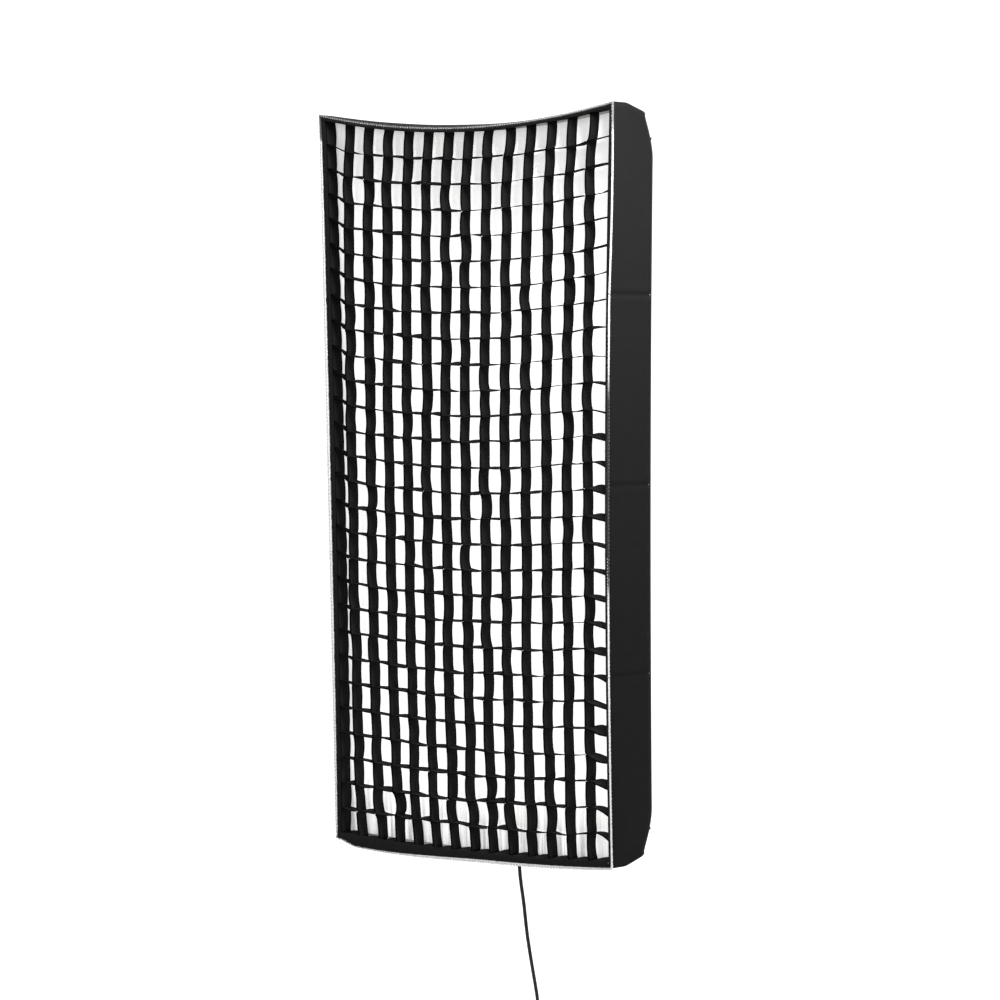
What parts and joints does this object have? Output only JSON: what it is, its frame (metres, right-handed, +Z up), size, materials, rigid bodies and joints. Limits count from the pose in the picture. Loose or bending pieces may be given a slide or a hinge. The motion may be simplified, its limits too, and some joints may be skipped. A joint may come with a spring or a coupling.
{
  "type": "strip softbox",
  "caption": "Tall strip softbox: fabric skirt, white diffuser and fabric egg-crate grid on a flexible light mat, held by an X-bracket on a tilting spigot head, with its lead.",
  "frame": {"origin": "middle of the spigot socket's mouth, at the bottom of the receiver", "axes": "+Z up along the stand, -Y the way the softbox faces, +X to the right as seen from behind the subject looking at +Y"},
  "size_m": [0.6006, 0.4417, 1.6065],
  "materials": {
    "black_fabric": "matt woven nylon",
    "white_fabric": "matt translucent woven nylon",
    "silver_lining": "satin silver coated cloth",
    "stiffener_board": "matt foamed sheet",
    "led_mat_face": "matt white flexible circuit",
    "black_alloy": "black powder coat",
    "bright_steel": "satin",
    "black_plastic": "fine moulded texture",
    "nylon": "satin",
    "rim_binding": "woven tape with grey stitches",
    "lead_rubber": "matt",
    "circuit_board": "satin"
  },
  "bodies": {
    "receiver": {"receiver": "black_alloy", "tilt_bolt": "bright_steel", "friction_washer_left": "nylon", "friction_washer_right": "nylon"},
    "clamp_knob": {"spigot_clamp_knob": "black_plastic"},
    "tilt_lever": {"tilt_lock_lever": "black_plastic"},
    "tongue": {"tilt_tongue": "black_alloy"},
    "rotation_knob": {"rotation_lock_knob": "black_plastic"},
    "mat_frame": {"rotation_shaft": "bright_steel", "hub_casting": "black_alloy", "hub_cap": "black_plastic", "arm_tube_lower_left": "black_alloy", "arm_tube_upper_left": "black_alloy", "arm_tube_lower_right": "black_alloy", "arm_tube_upper_right": "black_alloy", "arm_rod_lower_left": "bright_steel", "arm_rod_upper_left": "bright_steel", "arm_rod_lower_right": "bright_steel", "arm_rod_upper_right": "bright_steel", "arm_tip_lower_left": "black_plastic", "arm_tip_upper_left": "black_plastic", "arm_tip_lower_right": "black_plastic", "arm_tip_upper_right": "black_plastic", "pocket_lower_left": "black_fabric", "pocket_upper_left": "black_fabric", "pocket_lower_right": "black_fabric", "pocket_upper_right": "black_fabric", "led_mat": "led_mat_face", "mat_back_cover": "black_fabric", "junction_box": "black_plastic", "junction_lid": "black_plastic", "junction_board": "circuit_board", "strain_relief": "lead_rubber", "lead_run": "lead_rubber", "lead_coil": "lead_rubber", "lead_tie": "black_fabric", "connector_body": "black_alloy"},
    "connector_ring": {"connector_ring": "bright_steel"},
    "skirt": {"skirt_left_panel": "black_fabric", "skirt_right_panel": "black_fabric", "skirt_top_panel": "black_fabric", "skirt_bottom_panel": "black_fabric", "left_lining": "silver_lining", "right_lining": "silver_lining", "top_lining": "silver_lining", "bottom_lining": "silver_lining", "top_stiffener": "stiffener_board", "bottom_stiffener": "stiffener_board", "left_stiffener_1": "stiffener_board", "left_stiffener_2": "stiffener_board", "left_stiffener_3": "stiffener_board", "left_stiffener_4": "stiffener_board", "right_stiffener_1": "stiffener_board", "right_stiffener_2": "stiffener_board", "right_stiffener_3": "stiffener_board", "right_stiffener_4": "stiffener_board", "rim_binding": "rim_binding", "rear_hem": "black_fabric"},
    "diffuser": {"diffuser": "white_fabric"},
    "grid": {"egg_crate_grid": "black_fabric"}
  },
  "joints": [
    {"name": "spigot_clamp_turn", "type": "hinge", "parent": "receiver", "child": "clamp_knob", "pos_m": [0, 0.03, 0.023], "axis": [0, 1, 0], "range_deg": [-180, 180]},
    {"name": "tilt", "type": "hinge", "parent": "receiver", "child": "tongue", "pos_m": [0, 0, 0.085], "axis": [-1, 0, 0], "range_deg": [-25, 90]},
    {"name": "tilt_lever_turn", "type": "hinge", "parent": "receiver", "child": "tilt_lever", "pos_m": [0.03, 0, 0.085], "axis": [1, 0, 0], "range_deg": [-20, 60]},
    {"name": "rotation_knob_turn", "type": "hinge", "parent": "tongue", "child": "rotation_knob", "pos_m": [0, -0.07, 0.115], "axis": [0, 0, 1], "range_deg": [-180, 180]},
    {"name": "rotate", "type": "hinge", "parent": "tongue", "child": "mat_frame", "pos_m": [0, -0.12, 0.085], "axis": [0, -1, 0], "range_deg": [-90, 90]},
    {"name": "connector_ring_turn", "type": "hinge", "parent": "mat_frame", "child": "connector_ring", "pos_m": [0.01, -0.23387, -0.90633], "axis": [0, -0.2057, -0.9786], "range_deg": [-60, 60]},
    {"name": "skirt_off", "type": "slide", "parent": "mat_frame", "child": "skirt", "axis": [0, -1, 0], "range_m": [0, 0.15]},
    {"name": "diffuser_off", "type": "slide", "parent": "skirt", "child": "diffuser", "axis": [0, -1, 0], "range_m": [0, 0.12]},
    {"name": "grid_off", "type": "slide", "parent": "diffuser", "child": "grid", "axis": [0, -1, 0], "range_m": [0, 0.08]}
  ]
}
